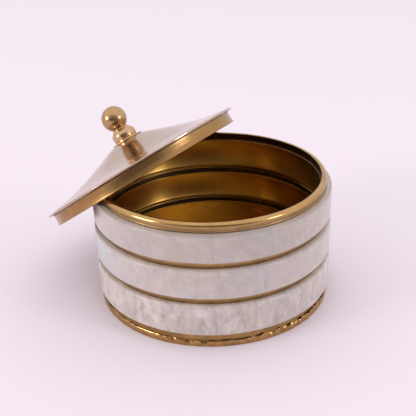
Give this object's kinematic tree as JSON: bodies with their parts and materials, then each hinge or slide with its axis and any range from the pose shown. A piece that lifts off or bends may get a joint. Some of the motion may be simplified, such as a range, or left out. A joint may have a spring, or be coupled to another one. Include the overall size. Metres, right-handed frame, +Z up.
{
  "type": "pill box",
  "caption": "Round brass trinket box faced with rows of mother-of-pearl, with a pagoda-shaped brass lid and ball finial leaning across its open rim.",
  "frame": {"origin": "middle of the underside of the base plate, on the box's own axis", "axes": "+Z up along the box's axis; -Y towards the viewer; +X to the viewer's right, so the lid has slid off towards -X and +Y"},
  "size_m": [0.0924, 0.0865, 0.0587],
  "materials": {
    "box_brass": "aged, brushed brass with a golden brown inside",
    "lid_brass": "polished spun brass, slightly dulled",
    "fixing_brass": "plain turned brass",
    "mother_of_pearl": null
  },
  "bodies": {
    "box": {"wall_shell": "box_brass", "base_plate": "box_brass", "foot_fillet": "box_brass", "pearl_row1_tile1": "mother_of_pearl", "pearl_row1_tile2": "mother_of_pearl", "pearl_row1_tile3": "mother_of_pearl", "pearl_row1_tile4": "mother_of_pearl", "pearl_row1_tile5": "mother_of_pearl", "pearl_row1_tile6": "mother_of_pearl", "pearl_row1_tile7": "mother_of_pearl", "pearl_row1_tile8": "mother_of_pearl", "pearl_row2_tile1": "mother_of_pearl", "pearl_row2_tile2": "mother_of_pearl", "pearl_row2_tile3": "mother_of_pearl", "pearl_row2_tile4": "mother_of_pearl", "pearl_row2_tile5": "mother_of_pearl", "pearl_row2_tile6": "mother_of_pearl", "pearl_row2_tile7": "mother_of_pearl", "pearl_row2_tile8": "mother_of_pearl", "pearl_row3_tile1": "mother_of_pearl", "pearl_row3_tile2": "mother_of_pearl", "pearl_row3_tile3": "mother_of_pearl", "pearl_row3_tile4": "mother_of_pearl", "pearl_row3_tile5": "mother_of_pearl", "pearl_row3_tile6": "mother_of_pearl", "pearl_row3_tile7": "mother_of_pearl", "pearl_row3_tile8": "mother_of_pearl"},
    "finial_ball": {"finial_ball": "lid_brass"},
    "lid": {"lid_cone": "lid_brass", "lid_skirt": "lid_brass", "finial_stem": "lid_brass", "finial_washer": "fixing_brass", "finial_nut": "fixing_brass"}
  },
  "joints": [
    {"name": "lid_carry", "type": "hinge", "parent": "box", "child": "finial_ball", "pos_m": [-0.01587, 0.01011, 0.0548], "axis": [0.5373, 0.8434, 0], "range_deg": [0, 180]},
    {"name": "lid_level", "type": "hinge", "parent": "finial_ball", "child": "lid", "pos_m": [-0.03175, 0.02023, 0.05191], "axis": [0.5373, 0.8434, 0], "range_deg": [-144.6, 0]}
  ],
  "couplings": [
    {"joint": "lid_level", "follows": "lid_carry", "ratio": -0.80333}
  ]
}
